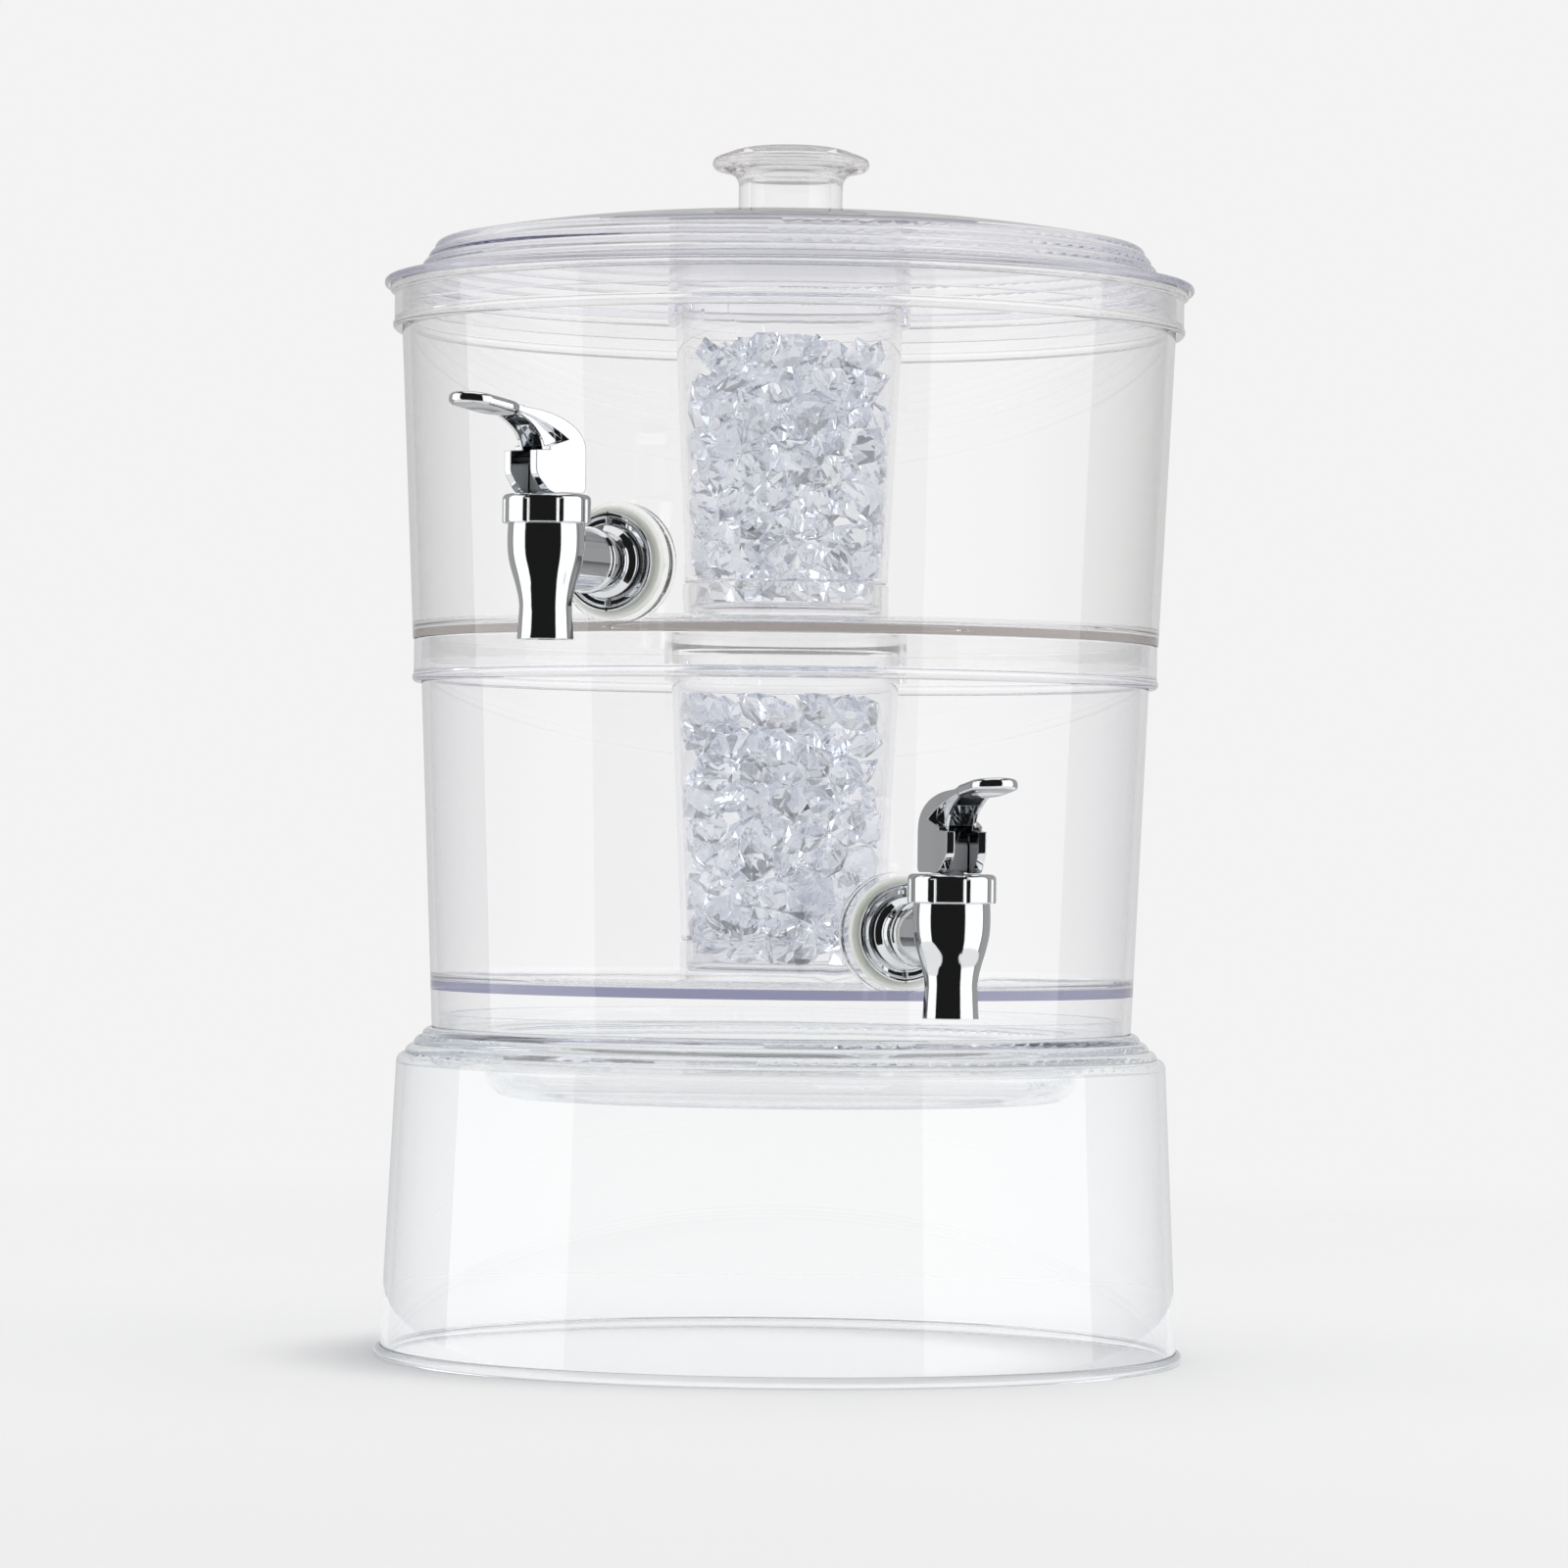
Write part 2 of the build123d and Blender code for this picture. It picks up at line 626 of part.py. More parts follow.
# Taps: eleven pieces each, drawn in the plane of the tap
def make_tap(name, frame, yaw):
    """One tap, with its lever turned by yaw degrees about the stem."""
    side = side_of(frame)
    upright = Axis(frame.origin, (0, 0, 1))
    along = Axis(frame.origin, frame.x_dir)
    lever_frame = frame.rotated((0, 0, yaw))
    lever_side = side_of(lever_frame)
    flange_back = pad_outer + outer_washer_thickness
    nut_outer = pad_inner - inner_washer_thickness
    shank_end = nut_outer - nut_thickness - shank_spare
    neck_top = bonnet_high - bonnet_plate - gasket_thickness
    neck_radius = bonnet_radius - 2.9
    seat_low = -nozzle_drop + 0.68 * nozzle_drop
    seat_high = seat_low + 6.0
    spring_low = 8.2
    spring_high = bonnet_high - bonnet_plate
    hub_radius = spring_radius - spring_wire_radius - 0.55
    pin_height = bonnet_high + cam_gap + cam_radius - cam_offset * sin(radians(press_angle / 2))

    with BuildPart() as body:
        with BuildSketch(side):
            with BuildLine():
                waist = (waist_radius, -0.61 * nozzle_drop)
                vase_top = (body_radius - 0.2, bonnet_low)
                Polyline((0, -nozzle_drop), (nozzle_radius, -nozzle_drop), waist)
                Spline(
                    waist,
                    (0.82 * body_radius, -8.0),
                    (0.965 * body_radius, -1.0),
                    (body_radius, 4.0),
                    vase_top,
                )
                Polyline(vase_top, (neck_radius, bonnet_low), (neck_radius, neck_top), (0, neck_top))
                Line((0, neck_top), (0, -nozzle_drop))
            make_face()
        revolve(axis=upright)
        with BuildSketch(side):
            with BuildLine():
                FilletPolyline(
                    (0, 0),
                    (shank_end, 0),
                    (shank_end, shank_radius),
                    (flange_back, shank_radius),
                    (flange_back, flange_radius),
                    (flange_back + 3.0, flange_radius),
                    (flange_back + 3.0, flange_radius - 1.5),
                    (flange_back + 1.6, flange_radius - 1.8),
                    (flange_back + 1.6, arm_radius + 2.4),
                    (flange_back + 4.8, arm_radius + 2.0),
                    (flange_back + 7.0, arm_radius - 0.4),
                    (flange_back + 15.0, arm_radius - 0.6),
                    (flange_back + 16.0, arm_radius + 0.9),
                    (flange_back + 18.6, arm_radius + 0.9),
                    (flange_back + 19.6, arm_radius),
                    (0, arm_radius),
                    (0, 0),
                    radius=(0, 0, 0.8, 0, 0.5, 0.6, 0.3, 0.3, 0.6, 0.6, 1.2, 0.3, 0.5, 0.5, 0.3, 0),
                )
            make_face()
        revolve(axis=along)
        with BuildSketch(side):
            with GridLocations(0, 2 * flange_radius - 3.6, 1, 2):
                with Locations((flange_back + 2.0, 0)):
                    Rectangle(1.8, 4.2)
        extrude(amount=0.5, both=True)
        with BuildSketch(side):
            with BuildLine():
                Polyline(
                    (0, -nozzle_drop),
                    (outlet_radius, -nozzle_drop),
                    (outlet_radius, seat_low),
                    (chamber_radius, seat_high),
                    (chamber_radius, neck_top),
                    (0, neck_top),
                    (0, -nozzle_drop),
                )
            make_face()
        revolve(axis=upright, mode=Mode.SUBTRACT)
        with BuildSketch(face_of(frame, shank_end)):
            Circle(shank_bore_radius)
        extrude(amount=-shank_end, mode=Mode.SUBTRACT)
    save(body, f"{name}_body")

    with BuildPart() as bonnet:
        with BuildSketch(side):
            with BuildLine():
                FilletPolyline(
                    (bonnet_radius - 2.6, bonnet_low),
                    (bonnet_radius, bonnet_low),
                    (bonnet_radius, bonnet_high),
                    (stem_radius + running, bonnet_high),
                    (stem_radius + running, bonnet_low + 2.6),
                    (hub_radius, bonnet_low + 2.6),
                    (hub_radius, spring_high),
                    (bonnet_radius - 2.6, spring_high),
                    (bonnet_radius - 2.6, bonnet_low),
                    radius=(0, 0.6, bonnet_edge, 0, 0, 0, 0, 0),
                )
            make_face()
        revolve(axis=upright)
        with BuildSketch(Plane(frame.origin + (0, 0, bonnet_low), x_dir=frame.x_dir)):
            with PolarLocations(bonnet_radius + groove_radius - groove_depth, bonnet_grooves):
                Circle(groove_radius)
        extrude(amount=bonnet_high - bonnet_low - bonnet_edge, mode=Mode.SUBTRACT)
    save(bonnet, f"{name}_bonnet")

    with BuildPart() as gasket:
        with BuildSketch(Plane(frame.origin + (0, 0, neck_top))):
            Circle(neck_radius)
            Circle(chamber_radius, mode=Mode.SUBTRACT)
        extrude(amount=gasket_thickness)
    save(gasket, f"{name}_bonnet_gasket")

    with BuildPart() as outer_washer:
        with BuildSketch(face_of(frame, pad_outer)):
            Circle(washer_radius)
            Circle(shank_radius + running, mode=Mode.SUBTRACT)
        extrude(amount=outer_washer_thickness)
        fillet(outer_washer.edges().filter_by(GeomType.CIRCLE).sort_by(SortBy.RADIUS)[-2:], 0.9)
    save(outer_washer, f"{name}_outer_washer")

    with BuildPart() as inner_washer:
        with BuildSketch(face_of(frame, nut_outer)):
            Circle(inner_washer_radius)
            Circle(shank_radius + running, mode=Mode.SUBTRACT)
        extrude(amount=inner_washer_thickness)
    save(inner_washer, f"{name}_inner_washer")

    with BuildPart() as nut:
        with BuildSketch(face_of(frame, nut_outer - nut_thickness)):
            RegularPolygon(nut_across_flats / 2, 6, major_radius=False)
            Circle(shank_radius + running, mode=Mode.SUBTRACT)
        extrude(amount=nut_thickness)
    save(nut, f"{name}_nut")

    with BuildPart() as seal:
        with BuildSketch(side):
            with BuildLine():
                slope = (chamber_radius - outlet_radius) / (seat_high - seat_low)
                nose = seat_low + 1.4
                crown = seat_high - 0.2
                Polyline(
                    (0, nose - 1.0),
                    (outlet_radius + slope * (nose - seat_low) - seal_gap, nose),
                    (outlet_radius + slope * (crown - seat_low) - seal_gap, crown),
                    (outlet_radius + slope * (crown - seat_low) - seal_gap, crown + 1.8),
                    (stem_radius + 1.6, crown + 3.6),
                    (stem_radius - 1.0 + running, crown + 3.6),
                    (stem_radius - 1.0 + running, crown),
                    (0, crown),
                    (0, nose - 1.0),
                )
            make_face()
        revolve(axis=upright)
    save(seal, f"{name}_seal")

    with BuildPart() as spring:
        coil_height = spring_high - spring_low - 2 * spring_wire_radius - 0.1
        coil_pitch = coil_height / spring_turns
        coil_low = frame.origin + (0, 0, spring_low + spring_wire_radius + 0.05)
        with BuildLine() as coil:
            Helix(coil_pitch, coil_height, spring_radius, center=coil_low)
        with BuildSketch(Plane(coil.line @ 0, z_dir=coil.line % 0)):
            Circle(spring_wire_radius)
        sweep(is_frenet=True)
    print(f"{name} spring: gap between turns {coil_pitch - 2 * spring_wire_radius:.2f} mm")
    save(spring, f"{name}_spring")

    with BuildPart() as stem:
        with BuildSketch(lever_side):
            with BuildLine():
                rod_end = seat_high - 0.2 + running
                Polyline(
                    (0, rod_end),
                    (stem_radius - 1.0, rod_end),
                    (stem_radius - 1.0, spring_low - 1.5),
                    (stem_collar_radius, spring_low - 1.5),
                    (stem_collar_radius, spring_low),
                    (stem_radius, spring_low),
                    (stem_radius, bonnet_high + 1.0),
                    (0, bonnet_high + 1.0),
                    (0, rod_end),
                )
            make_face()
        revolve(axis=upright)
        with BuildSketch(lever_side):
            with Locations((0, bonnet_high + 0.5)):
                RectangleRounded(
                    2 * head_half_length,
                    pin_height - bonnet_high + head_half_length,
                    1.5,
                    align=(Align.CENTER, Align.MIN),
                )
        extrude(amount=head_half_width, both=True)
        with BuildSketch(lever_side):
            with Locations((0, pin_height)):
                Circle(pin_radius + 0.02)
        extrude(amount=head_half_width, both=True, mode=Mode.SUBTRACT)
    save(stem, f"{name}_stem")

    with BuildPart() as pin:
        with BuildSketch(lever_side):
            with Locations((0, pin_height)):
                Circle(pin_radius)
        extrude(amount=pin_half_length, both=True)
    save(pin, f"{name}_pin")

    with BuildPart() as thumb:
        tilt = radians(thumb_tilt)
        fore = lever_frame.x_dir * cos(tilt) + Vector(0, 0, sin(tilt))
        thumb_tip = lever_frame.origin + lever_frame.x_dir * lever_tip + (0, 0, bonnet_high + lever_rise)
        upward = fore.cross(lever_frame.y_dir)
        thumb_face = Plane(thumb_tip - fore * (thumb_length / 2) - upward * thumb_thickness, fore, upward)
        with BuildSketch(thumb_face):
            SlotOverall(thumb_length, 2 * thumb_half_width)
        extrude(amount=thumb_thickness)
        across = thumb.faces().sort_by(Axis(thumb_face.origin, upward))
        fillet(across[0].edges() + across[-1].edges(), thumb_rim_round)
        with Locations(thumb_face.origin - upward * (thumb_dish_radius - thumb_dish_depth)):
            Sphere(thumb_dish_radius, mode=Mode.SUBTRACT)

    with BuildPart() as lever:
        cam_x = cam_offset * cos(radians(press_angle / 2))
        cam_z = pin_height + cam_offset * sin(radians(press_angle / 2))
        cam_low = (cam_x, cam_z - cam_radius)
        nose = [(cam_x + x * cam_radius, cam_z + z * cam_radius) for x, z in cheek_nose_line]
        brow = (nose[0][0], bonnet_high + cheek_height)
        heel_top = (-lever_heel, bonnet_high + lever_heel_height)
        foot = bonnet_high + lever_foot_gap
        back = on_lever(lever_back_line)
        under = on_lever(lever_under_line)
        roof = on_lever(lever_roof_line)
        with BuildSketch(lever_side.offset(-lever_half_width)):
            with BuildLine():
                Spline(heel_top, *back, tangents=((0, 1), (1, 0)))
                Line(back[-1], under[0])
                Spline(*under)
                Polyline(under[-1], brow, nose[0])
                Spline(*nose, tangents=((0, -1), (cheek_nose_line[-1][1], -cheek_nose_line[-1][0])))
                RadiusArc(nose[-1], cam_low, cam_radius)
                FilletPolyline(
                    cam_low,
                    (cam_x - 0.42 * cam_radius, foot),
                    (-lever_heel, foot),
                    heel_top,
                    radius=(0, lever_heel_round),
                )
            make_face()
        extrude(amount=2 * lever_half_width)
        with BuildSketch(Plane(lever_frame.origin + (0, 0, bonnet_high), x_dir=lever_frame.x_dir)):
            with BuildLine():
                plan = [(x * lever_tip, y * lever_half_width) for x, y in lever_plan_line]
                toe_in = (plan[1][0] - plan[0][0], plan[1][1] - plan[0][1])
                Polyline((-2 * lever_heel, 0), (-2 * lever_heel, lever_half_width), plan[0], plan[1])
                Spline(*plan[1:], tangents=(toe_in, (1, 0)))
                Line(plan[-1], (plan[-1][0], 0))
                mirror(about=Plane.XZ)
            make_face()
        extrude(amount=2 * lever_rise, mode=Mode.INTERSECT)
        for hand in (1, -1):
            with BuildSketch(lever_side.offset(hand * lever_neck_half_width)):
                with BuildLine():
                    Spline(*roof)
                    Polyline(roof[-1], (roof[-1][0], brow[1]), brow, roof[0])
                make_face()
            extrude(amount=hand * lever_half_width, mode=Mode.SUBTRACT)
        add(thumb.part)
        with BuildSketch(lever_side):
            with BuildLine():
                slot = (*lever_slot_back, *lever_slot_line, *lever_slot_front)
                Polyline(*on_lever(slot), close=True)
            make_face()
        extrude(amount=lever_slot_half_width, both=True, mode=Mode.SUBTRACT)
        with BuildSketch(lever_side):
            with Locations((0, pin_height)):
                Circle(pin_radius + running)
        extrude(amount=pin_half_length + 0.2, both=True, mode=Mode.SUBTRACT)
    save(lever, f"{name}_lever")


make_tap("lower_tap", lower_tap_frame, 0)
make_tap("upper_tap", upper_tap_frame, upper_lever_yaw)
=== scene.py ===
# %% [markdown]
# A two-tier beverage dispenser in clear plastic, dressed for the camera.
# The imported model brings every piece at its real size. This script adds what the eye needs: the camera,
# a plain studio, and a material for each piece that says what it is made of.

# %% Load the frame
import itertools
import math

import bpy
import numpy as np
from mathutils import Matrix, Vector


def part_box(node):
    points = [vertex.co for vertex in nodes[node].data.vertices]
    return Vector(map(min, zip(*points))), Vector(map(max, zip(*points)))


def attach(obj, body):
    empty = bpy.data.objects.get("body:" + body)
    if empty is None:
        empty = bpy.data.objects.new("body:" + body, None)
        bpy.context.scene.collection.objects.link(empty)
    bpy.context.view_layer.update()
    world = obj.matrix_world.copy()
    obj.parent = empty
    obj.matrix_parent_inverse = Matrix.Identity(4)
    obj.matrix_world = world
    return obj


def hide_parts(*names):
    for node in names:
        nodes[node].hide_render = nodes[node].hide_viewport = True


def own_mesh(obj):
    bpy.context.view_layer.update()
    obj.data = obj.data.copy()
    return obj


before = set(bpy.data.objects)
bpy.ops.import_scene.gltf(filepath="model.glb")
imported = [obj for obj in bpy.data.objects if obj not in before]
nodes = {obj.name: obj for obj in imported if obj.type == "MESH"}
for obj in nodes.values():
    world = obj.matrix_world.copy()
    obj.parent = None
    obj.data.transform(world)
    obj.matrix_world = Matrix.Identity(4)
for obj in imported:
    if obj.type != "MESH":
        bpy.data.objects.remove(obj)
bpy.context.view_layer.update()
scene = bpy.context.scene

# %% [markdown]
# A few small helpers serve every material. Colours are written as the sRGB hex values that a person would
# pick, and Blender works in linear light, so one function converts them. Another adds a node with its
# settings and its links in one line, which keeps each material short enough to read. Patterns are given
# by the real size of their cells, which a third one turns into a texture's scale.

# %% Helpers for colours and nodes
WHITE_HEX = "#FFFFFF"
MATHS = "ShaderNodeMath"
MAP_RANGE = "ShaderNodeMapRange"
SMOOTH = {"interpolation_type": "SMOOTHSTEP"}


def linear(hex_colour):
    """An sRGB hex colour as linear RGBA: the low end is divided by 12.92, the rest follows a power of 2.4."""
    srgb = np.array([int(hex_colour[i : i + 2], 16) / 255 for i in (1, 3, 5)])
    rgb = np.where(srgb <= 0.04045, srgb / 12.92, ((srgb + 0.055) / 1.055) ** 2.4)
    return (*rgb.tolist(), 1.0)


def node(tree, kind, sockets=(), **settings):
    """Adds a node with its settings. Sockets are given in order, or by name or number.

    Each socket gets a value, another node's output, or another node, which stands for its first output.
    """
    made = tree.nodes.new(kind)
    for name, value in settings.items():
        setattr(made, name, value)
    pairs = sockets.items() if isinstance(sockets, dict) else enumerate(sockets)
    for name, value in pairs:
        if isinstance(value, bpy.types.Node):
            value = value.outputs[0]
        if isinstance(value, bpy.types.NodeSocket):
            tree.links.new(value, made.inputs[name])
        else:
            made.inputs[name].default_value = value
    return made


def blank_material(name):
    """A material with an empty node tree."""
    material = bpy.data.materials.new(name)
    material.use_nodes = True
    material.node_tree.nodes.clear()
    return material, material.node_tree


def per_metre(size_mm):
    """A texture's scale for a pattern whose cells are size_mm across, in scene units of metres."""
    return 1000.0 / size_mm


# %% [markdown]
# The photograph was taken with a long lens from a little below the middle of the dispenser, so the
# ellipses of the lid curve up and those of the foot curve down. The camera could be placed by hand and
# nudged. It is worked out instead from a distance, a height and three small angles, which come from
# fitting the ellipses of the rims.

# %% Camera
CAMERA_DISTANCE = 2.400
CAMERA_HEIGHT = 0.1839
CAMERA_TURN = math.radians(3.55)
CAMERA_PITCH = math.radians(0.543)
CAMERA_ROLL = math.radians(0.660)
FOCAL_PIXELS = 6783
PHOTO_PIXELS = 1600
SENSOR_MM = 36.0

level = Vector((-math.sin(CAMERA_TURN), math.cos(CAMERA_TURN), 0))
upright = Vector((0, 0, 1))
right = level.cross(upright)
ahead = level * math.cos(CAMERA_PITCH) + upright * math.sin(CAMERA_PITCH)
above = upright * math.cos(CAMERA_PITCH) - level * math.sin(CAMERA_PITCH)
rolled_right = right * math.cos(CAMERA_ROLL) + above * math.sin(CAMERA_ROLL)
rolled_up = above * math.cos(CAMERA_ROLL) - right * math.sin(CAMERA_ROLL)

camera_data = bpy.data.cameras.new("photo_camera")
camera_data.sensor_width = SENSOR_MM
camera_data.lens = FOCAL_PIXELS / PHOTO_PIXELS * SENSOR_MM
camera = bpy.data.objects.new("photo_camera", camera_data)
scene.collection.objects.link(camera)
axes = Matrix((rolled_right, rolled_up, -ahead)).transposed().to_4x4()
camera.matrix_world = Matrix.Translation(-level * CAMERA_DISTANCE + upright * CAMERA_HEIGHT) @ axes
scene.camera = camera
print("lens:", round(camera_data.lens, 1), "mm at", tuple(round(c, 3) for c in camera.location))

# %% [markdown]
# Clear plastic and chrome show little of their own: they show the room. A picture of a studio could
# stand for the room, but a few smooth steps over a ray's direction are easier to adjust. The camera sees
# a pale even backdrop. Rays through the plastic see it all round, whitest at its foot, with a dim ceiling
# above, so ridges, rims and ice chips that bend light upwards draw grey lines. Mirrored rays see a dark
# front, which gives the taps their black bands, and dim grey behind the object, with only a glimpse of
# the backdrop in the middle.

# %% World
BACKDROP_HEX = "#F3F3F3"
BACKDROP_THROUGH = 0.93
BACKDROP_FOOT = 1.0
FOOT_SPAN = (-0.06, -0.005)
BACKDROP_TOP = (0.3, 0.8)
CEILING = 0.4
AMBIENT = 0.71
BACKDROP_EDGE = (0.85, 1.15)
STUDIO_SIDE = 0.35
SIDE_SPAN = (0.0, 0.5)
STUDIO_DARK = 0.012
STUDIO_FLOOR = 0.1
STEEP_DOWN = (-0.6, -0.9)

world = bpy.data.worlds.new("studio")
scene.world = world
world.use_nodes = True
tree = world.node_tree
tree.nodes.clear()
path = node(tree, "ShaderNodeLightPath").outputs
direction = node(tree, "ShaderNodeTexCoord").outputs["Generated"]
way = node(tree, "ShaderNodeSeparateXYZ", (direction,)).outputs
studio = node(tree, MAP_RANGE, (way["Z"], *STEEP_DOWN, STUDIO_DARK, STUDIO_FLOOR), **SMOOTH)
sides = node(tree, MAP_RANGE, (way["Y"], *SIDE_SPAN, studio, STUDIO_SIDE), **SMOOTH)
behind = node(tree, MAP_RANGE, (way["Y"], *BACKDROP_EDGE, sides, BACKDROP_THROUGH), **SMOOTH)
top = node(tree, MAP_RANGE, (way["Z"], *BACKDROP_TOP, BACKDROP_THROUGH, CEILING), **SMOOTH)
room = node(tree, MAP_RANGE, (way["Z"], *FOOT_SPAN, BACKDROP_FOOT, top), **SMOOTH)
mirrored_inside = node(tree, MATHS, (path["Is Glossy Ray"], path["Transmission Depth"]), operation="MINIMUM")
through_plastic = node(tree, MATHS, (path["Is Transmission Ray"], mirrored_inside), operation="MAXIMUM")
ambient = node(tree, "ShaderNodeBackground", {"Color": linear(WHITE_HEX), "Strength": AMBIENT})
seen = node(tree, "ShaderNodeBackground", {"Color": linear(BACKDROP_HEX), "Strength": 1.0})
through = node(tree, "ShaderNodeBackground", {"Color": linear(WHITE_HEX), "Strength": room})
mirrored = node(tree, "ShaderNodeBackground", {"Color": linear(WHITE_HEX), "Strength": behind})
shown = ambient
for ray, background in (
    (path["Is Glossy Ray"], mirrored),
    (through_plastic, through),
    (path["Is Camera Ray"], seen),
):
    shown = node(tree, "ShaderNodeMixShader", (ray, shown, background))
node(tree, "ShaderNodeOutputWorld", {"Surface": shown})
print("world: backdrop", BACKDROP_HEX, "ambient", AMBIENT)

# %% [markdown]
# A tall softbox stands on each side of the object and a square one hangs above it. They light the chrome
# and the paper, and the clear walls mirror the tall ones as pale upright bands. A softbox could be a
# glowing mesh, but a lamp makes less noise. Each tall one is given by its azimuth in degrees, then its
# distance, height above the floor, width and length in metres. The camera and rays through the plastic
# don't see the lamps, so no white rectangle shows behind the tanks.

# %% Softboxes
SOFTBOX_LIGHT = 1.15
SOFTBOXES = {
    "left_softbox": (-80, 1.6, 0.3, 1.36, 2.6),
    "right_softbox": (73, 1.6, 0.3, 1.77, 2.6),
}
OVERHEAD_LIGHT = 0.9
OVERHEAD_SIZE = 1.8
OVERHEAD_HEIGHT = 2.2


def area_light(name, place, aim, width, length, radiance):
    """A rectangle of light facing aim: a matt emitter's power is pi times its area times its radiance."""
    data = bpy.data.lights.new(name, "AREA")
    data.shape = "RECTANGLE"
    data.size = width
    data.size_y = length
    data.energy = math.pi * width * length * radiance
    lamp = bpy.data.objects.new(name, data)
    lamp.location = place
    lamp.rotation_euler = (Vector(aim) - Vector(place)).to_track_quat("-Z", "Y").to_euler()
    lamp.visible_camera = False
    lamp.visible_transmission = False
    scene.collection.objects.link(lamp)


for name, (azimuth, distance, height, width, length) in SOFTBOXES.items():
    turn = math.radians(azimuth)
    place = (distance * math.sin(turn), -distance * math.cos(turn), height)
    area_light(name, place, (0, 0, height), width, length, SOFTBOX_LIGHT)
overhead = (0, 0, OVERHEAD_HEIGHT)
area_light("overhead_softbox", overhead, (0, 0, 0), OVERHEAD_SIZE, OVERHEAD_SIZE, OVERHEAD_LIGHT)

# %% [markdown]
# The floor is a sheet of matt studio paper that takes the soft shadow. A straight edge or a horizon would
# cut the picture in two, so the paper fades out into the backdrop with distance from the middle. Mirrored
# rays see only the small table that it lies on, which ends in a straight edge in front, so the lower tap
# shows a pale patch below. The clear walls hardly stop lamp light, so the dark line beside the foot is
# painted shade: the paper's colour is darkened towards a grey tone by how much of the near surroundings a
# spot on the sheet sees, leaning towards the stronger lamp. Seen through the plastic, the paper also glows
# a little, a painted light that brightens it. The grain of real paper is finer. It is drawn as coarse as it
# needs to be to show.

# %% Paper of the floor
FLOOR_FADE = (0.3, 1.4)
TABLE_EDGE = (0.44, 0.46)
TABLE_FRONT = (0.355, 0.365)
PAPER_HEX = ("#EFEFEF", "#F1F1F1")
PAPER_GRAIN_MM = 2.0
PAPER_ROUGH = 0.4
PAINTED_GLOW_THROUGH = 0.12
FOOT_SHADE_HEX = "#C6C6C8"
SHADE_REACH = 0.07
SHADE_SPAN = (0.25, 0.8)
SHADE_LEAN = (0.6, 0.0, 0.8)
SHADE_SAMPLES = 6

paper, tree = blank_material("studio_paper")
place = node(tree, "ShaderNodeTexCoord").outputs["Object"]
along = node(tree, "ShaderNodeSeparateXYZ", (place,)).outputs
rays = node(tree, "ShaderNodeLightPath").outputs
reach = node(tree, "ShaderNodeVectorMath", (place,), operation="LENGTH").outputs["Value"]
to_front = node(tree, MATHS, (along["Y"], -1.0), operation="MULTIPLY")
past_edge = node(tree, MAP_RANGE, (reach, *TABLE_EDGE), **SMOOTH)
past_front = node(tree, MAP_RANGE, (to_front, *TABLE_FRONT), **SMOOTH)
off_table = node(tree, MATHS, (past_edge, past_front), operation="MAXIMUM")
far_off = node(tree, MAP_RANGE, (reach, *FLOOR_FADE), **SMOOTH)
fade = node(tree, "ShaderNodeMix", {0: rays["Is Glossy Ray"], 2: far_off, 3: off_table})

grain = node(tree, "ShaderNodeTexNoise", {"Vector": place, "Scale": per_metre(PAPER_GRAIN_MM)})
tones = {"Factor": grain, 6: linear(PAPER_HEX[0]), 7: linear(PAPER_HEX[1])}
tone = node(tree, "ShaderNodeMix", tones, data_type="RGBA").outputs[2]
# Painted shade: beside the foot, an occlusion measure that leans to one side darkens the paper's colour
# towards FOOT_SHADE_HEX.
lean = node(tree, "ShaderNodeCombineXYZ", SHADE_LEAN)
nearby = {"Distance": SHADE_REACH, "Normal": lean}
sight = node(tree, "ShaderNodeAmbientOcclusion", nearby, samples=SHADE_SAMPLES).outputs["AO"]
clear_of_foot = node(tree, MAP_RANGE, (sight, *SHADE_SPAN), **SMOOTH)
painted_shade_inputs = {"Factor": clear_of_foot, 6: linear(FOOT_SHADE_HEX), 7: tone}
painted_shade_colour = node(tree, "ShaderNodeMix", painted_shade_inputs, data_type="RGBA").outputs[2]

matt = node(tree, "ShaderNodeBsdfDiffuse", {"Color": painted_shade_colour, "Roughness": PAPER_ROUGH})
# Painted light: where the sheet is seen through the plastic it also glows, so it looks brighter than its
# lamps make it.
painted_glow_strength = node(tree, MATHS, (rays["Is Transmission Ray"], PAINTED_GLOW_THROUGH), operation="MULTIPLY")
glow = node(tree, "ShaderNodeEmission", {"Strength": painted_glow_strength})
sheet = node(tree, "ShaderNodeAddShader", (matt, glow))
gone = node(tree, "ShaderNodeBsdfTransparent")
node(tree, "ShaderNodeOutputMaterial", {"Surface": node(tree, "ShaderNodeMixShader", (fade, sheet, gone))})
print("paper:", paper.name, "fades out at", FLOOR_FADE[1], "m")

# %% [markdown]
# The sheet itself is flat, and a little larger than the distance at which its paper has faded out. A
# square would do as well. A disc follows the round fade and leaves no corners.

# %% Floor
FLOOR_RADIUS = 1.6
RIM_POINTS = 96


def put_mesh(name, points, faces, material, smooth=True):
    """A mesh object from arrays of points and faces, with its material, linked into the scene."""
    mesh = bpy.data.meshes.new(name)
    mesh.from_pydata(points.tolist(), [], faces.tolist())
    mesh.polygons.foreach_set("use_smooth", np.full(len(mesh.polygons), smooth))
    mesh.update()
    mesh.materials.append(material)
    made = bpy.data.objects.new(name, mesh)
    scene.collection.objects.link(made)
    return made


turns = np.linspace(0, 2 * math.pi, RIM_POINTS, endpoint=False)
rim = np.column_stack([np.cos(turns), np.sin(turns), np.zeros_like(turns)]) * FLOOR_RADIUS
floor = put_mesh("floor", rim, np.arange(RIM_POINTS)[None], paper)
print("floor: radius", FLOOR_RADIUS, "m")

